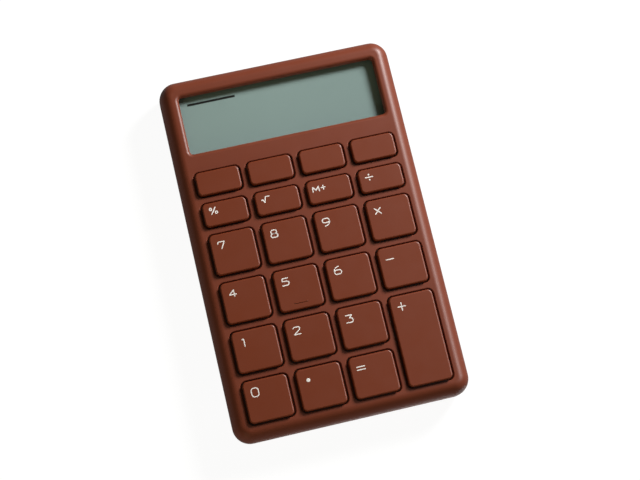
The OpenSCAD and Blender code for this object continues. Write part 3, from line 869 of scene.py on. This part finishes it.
# Each figure is a list of strokes in millimetres from its centre: the corners and how far each is rounded.
# A single corner is a dot and the number after it is its diameter.
FIGURES = {
    "key_7": [([(-1.12, 0.6), (-0.95, 1.13), (1.08, 1.13), (-0.12, -1.14)], 0.22)],
    "key_8": [ring(1.8, 1.2, 0.55, y=0.6), ring(2.2, 1.2, 0.58, y=-0.6)],
    "key_9": [ring(2.2, 1.35, 0.6, y=0.58),
              ([(1.1, 0.6), (1.1, -0.35), (0.5, -0.95), (-0.5, -1.22)], 0.5)],
    "key_4": [([(0.48, 1.12), (-1.1, -0.32), (1.12, -0.32)], 0.16), bar(0, 2.1, 0.48, 0.07)],
    "key_5": [([(0.95, 1.15), (-0.85, 1.15), (-1.0, 0.2), (0.6, 0.2), (1.1, -0.25), (1.1, -0.7), (0.6, -1.17),
                (-1.1, -1.17)], 0.2)],
    "key_6": [ring(2.2, 1.35, 0.6, y=-0.58),
              ([(-1.1, -0.6), (-1.1, 0.35), (-0.5, 0.95), (0.5, 1.22)], 0.5)],
    "key_1": [([(-0.38, 1.0), (0.17, 1.17), (0.17, -1.17)], 0.12)],
    "key_2": [([(-1.05, 0.75), (-0.75, 1.17), (0.75, 1.17), (1.05, 0.8), (1.05, 0.3), (-1.05, -1.17),
                (1.1, -1.17)], 0.2)],
    "key_3": [([(-1.0, 1.17), (1.05, 1.17), (0.0, 0.22), (0.7, 0.22), (1.1, -0.2), (1.1, -0.75), (0.7, -1.17),
                (-1.1, -1.17)], 0.2)],
    "key_0": [ring(2.25, 2.75, 0.85)],
    "key_point": [dot(1.25)],
    "key_equals": [bar(2.6, 0, -0.08, 0.48), bar(2.6, 0, -0.08, -0.48)],
    "key_plus": [bar(2.45, 0, 0.06, 0.18), bar(0, 2.45, 0.06, 0.18)],
    "key_minus": [bar(2.4, 0, 0.05, -0.18)],
    "key_multiply": [([(-0.95, -0.95), (0.95, 0.95)], 0), ([(-0.95, 0.95), (0.95, -0.95)], 0)],
    "key_divide": [bar(2.4, 0), dot(0.55, y=0.85), dot(0.55, y=-0.85)],
    "key_memory_plus": [([(-1.65, -0.95), (-1.55, 0.65), (-0.6, -0.55), (0.35, 0.65), (0.45, -0.95)], 0.1),
                        bar(1.25, 0, 1.85, -0.05), bar(0, 1.25, 1.85, -0.05)],
    "key_percent": [([(-0.75, -1.05), (0.75, 1.05)], 0), ring(0.72, 0.72, 0.34, -0.85, 0.64),
                    ring(0.72, 0.72, 0.34, 0.85, -0.64)],
    "key_root": [([(-1.3, -0.1), (-0.95, 0.1), (-0.45, -0.95), (0.1, 0.95), (1.3, 0.95)], 0.08)],
}


def blob(x, y, diameter):
    """Small ball in the plane z = 0, at a place in millimetres."""
    deselect()
    bpy.ops.mesh.primitive_uv_sphere_add(segments=12, ring_count=6, radius=diameter / 2, enter_editmode=True)
    bpy.ops.transform.translate(value=(x * MM, y * MM, 0))
    return done("blob")


def stroke(corners, bend, width):
    """Round bar through the corners in the plane z = 0, closed or with round ends, or a dot."""
    if len(corners) == 1:
        return [blob(*corners[0], bend * MM)]
    deselect()
    bpy.ops.mesh.primitive_plane_add(size=1 * MM, enter_editmode=True)
    bpy.ops.mesh.select_mode(type="VERT")
    bpy.ops.mesh.merge(type="CENTER")
    last = (0, 0)
    for index, corner in enumerate(corners):
        if index:
            bpy.ops.mesh.extrude_region()
        bpy.ops.transform.translate(value=((corner[0] - last[0]) * MM, (corner[1] - last[1]) * MM, 0))
        last = corner
    bpy.ops.mesh.select_all(action="SELECT")
    bpy.ops.mesh.remove_doubles(threshold=WELD)
    if bend:
        bpy.ops.mesh.bevel(offset=bend * MM, segments=BEND_STEPS, affect="VERTICES")
    bpy.ops.object.mode_set(mode="OBJECT")
    bpy.ops.object.convert(target="CURVE")
    curve = bpy.context.object
    curve.data.bevel_depth = width / 2
    curve.data.bevel_resolution = 1
    curve.data.use_fill_caps = True
    bpy.ops.object.convert(target="MESH")
    pieces = [bpy.context.object]
    if corners[0] != corners[-1]:
        pieces += [blob(*end, width) for end in (corners[0], corners[-1])]
    return pieces


def lay_flat(piece, place, flatness):
    """Squashes strokes to flatness times their height and moves them to their place."""
    edit(piece)
    bpy.ops.mesh.remove_doubles(threshold=WELD)
    bpy.ops.transform.resize(value=(1, 1, flatness), center_override=(0, 0, 0))
    bpy.ops.transform.translate(value=place)
    return shade(done(piece.name), angle=60)


def figure(node):
    """Printed figure, slightly domed, on top of its cap."""
    pieces = [piece for corners, bend in FIGURES[node] for piece in stroke(corners, bend, INK_W)]
    x, y = place_of_figure(node)
    return lay_flat(join(node.replace("key_", "figure_"), pieces), (x, y, CAP_TOP), INK_T / INK_W)


def display_bar():
    """Dark bar on the display's film."""
    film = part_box("lcd_polariser")[1].z
    return shade(rounded_block(
        "display_bar", ((BAR_LEFT + BAR_RIGHT) / 2, BAR_Y), (BAR_RIGHT - BAR_LEFT, BAR_W), BAR_R,
        [(0, film), (0, film + BAR_WALL_T), (BAR_EDGE, film + BAR_T)]))


for key, cap in keycaps().items():
    add_piece(cap, key, cap_plastic, [key])
    if key in FIGURES:
        add_piece(figure(key), key, white_ink)

add_piece(upper_case(), "case", case_plastic, ["top_shell"])
add_piece(rear_case(), "case", case_plastic, ["rear_cover"])
add_piece(battery_door(), "battery_door", case_plastic, ["battery_door"])
add_piece(display_bar(), "case", black_ink)
feet = {FEET[0]: rubber_foot(FEET[0])}
for node in FEET[1:]:
    feet[node] = copy_of(feet[FEET[0]], FEET[0], node, node.replace("foot", "rubber"))
for node, foot in feet.items():
    add_piece(foot, "case", FINISHES["foot_rubber"], [node])

# The CAD nodes that stay take the finish that the record names for them.
for subpart in frame["record"]["subparts"]:
    node = frame["nodes"][subpart["node"]]
    for material_slot in node.material_slots:
        material_slot.material = FINISHES[subpart["material_slot"]]


# ---------------------------------------------------------------- floor, light and camera

# Floor and background: how brightly they glow to the camera, and the share of that which reflections see
FLOOR_SIZE = 3
FLOOR_GLOW = 0.94
FLOOR_SHARE = 0.15
BACK_GLOW = 0.84
BACK_SHARE = 0.1

# Even light from all sides
FILL = 0.066
FILL_TINT = (1, 0.92, 0.62, 1)
WHITE = (1, 1, 1, 1)


def seen_white(m, share):
    """1 to the camera and through clear parts, and share of it in reflections."""
    camera, gloss, through = (m.node("LightPath", output=name) for name in
                              ("Is Camera Ray", "Is Glossy Ray", "Is Transmission Ray"))
    return camera + gloss * share + through


def floor_material():
    """Pale floor: white but for the object's shadow, and clear from below."""
    m = Material("pale_floor")
    white = seen_white(m, FLOOR_SHARE)
    matt = m.node("BsdfDiffuse", {}, {"Color": srgb(100, 100, 100)})
    glow = m.node("Emission", {}, {"Color": WHITE, "Strength": white * FLOOR_GLOW})
    lit = m.node("AddShader", {}, {0: matt, 1: glow})
    below = m.node("NewGeometry", output="Backfacing")
    return m.surface(m.node("MixShader", {}, {0: below, 1: lit, 2: m.node("BsdfTransparent")}))


def studio_world():
    """Dim, warm and even fill, white behind the object."""
    world = bpy.data.worlds.new("studio")
    world.use_nodes = True
    m = Nodes(world.node_tree)
    white = seen_white(m, BACK_SHARE)
    tint = m.mix(white, FILL_TINT, WHITE)
    back = m.node("Background", {}, {"Color": tint, "Strength": white * BACK_GLOW + FILL})
    m.node("OutputWorld", {}, {"Surface": back})
    bpy.context.scene.world = world


def make_stage():
    """Floor under the feet, which only the camera and the reflections see."""
    deselect()
    bpy.ops.mesh.primitive_plane_add(size=FLOOR_SIZE)
    floor = bpy.context.object
    floor.name = "floor"
    floor.data.materials.append(floor_material())
    floor.visible_shadow = False
    floor.visible_diffuse = False


def soft_light(name, towards, distance, size, power, seen="both", tint=WHITE):
    """Square soft box that looks at the middle of the case from the direction given.

    seen says what shows its light: the "matt" colour of surfaces, their "shine" or "both".
    """
    direction = Vector(towards).normalized()
    deselect()
    bpy.ops.object.light_add(type="AREA", location=direction * distance)
    lamp = bpy.context.object
    lamp.name = name
    lamp.data.size = size
    lamp.data.energy = power
    lamp.data.color = tint[:3]
    lamp.visible_glossy = seen != "matt"
    lamp.visible_diffuse = seen != "shine"
    lamp.rotation_mode = "QUATERNION"
    lamp.rotation_quaternion = direction.to_track_quat("Z", "Y")


CAMERA_PLACE = Vector((-46.722, -87.865, 478.29)) * MM
CAMERA_TARGET = Vector((1.839, -2.244, 12.4)) * MM
CAMERA_ROLL = radians(-13.4717)
LENS = 83.666


def make_camera():
    """Camera that looks down on the keys, turned about its line of sight."""
    deselect()
    bpy.ops.object.camera_add(location=CAMERA_PLACE)
    camera = bpy.context.object
    camera.data.lens = LENS
    camera.data.sensor_width = 36
    camera.data.clip_start = 0.01
    camera.data.clip_end = 10
    camera.rotation_mode = "QUATERNION"
    ahead = (CAMERA_TARGET - CAMERA_PLACE).normalized()
    right = ahead.cross(Vector((0, 1, 0))).normalized()
    up = right.cross(ahead)
    level = Matrix((right, up, -ahead)).transposed()
    camera.rotation_quaternion = (level @ Matrix.Rotation(CAMERA_ROLL, 3, "Z")).to_quaternion()
    bpy.context.scene.camera = camera


make_stage()
studio_world()
soft_light("key_light", towards=(1.38, 0.97, 1), distance=0.6, size=0.16, power=5.7)
soft_light("sheen_light", towards=(1.22, -0.05, 1), distance=0.6, size=0.2, power=1.55, seen="shine")
soft_light("side_light", towards=(-0.6, -1, 0.35), distance=0.8, size=0.5, power=1.65, seen="matt",
           tint=FILL_TINT)
soft_light("under_light", towards=(0.5, -0.4, -1), distance=0.7, size=0.4, power=4)
make_camera()
bpy.context.scene.view_settings.view_transform = "Standard"

bpy.context.view_layer.update()
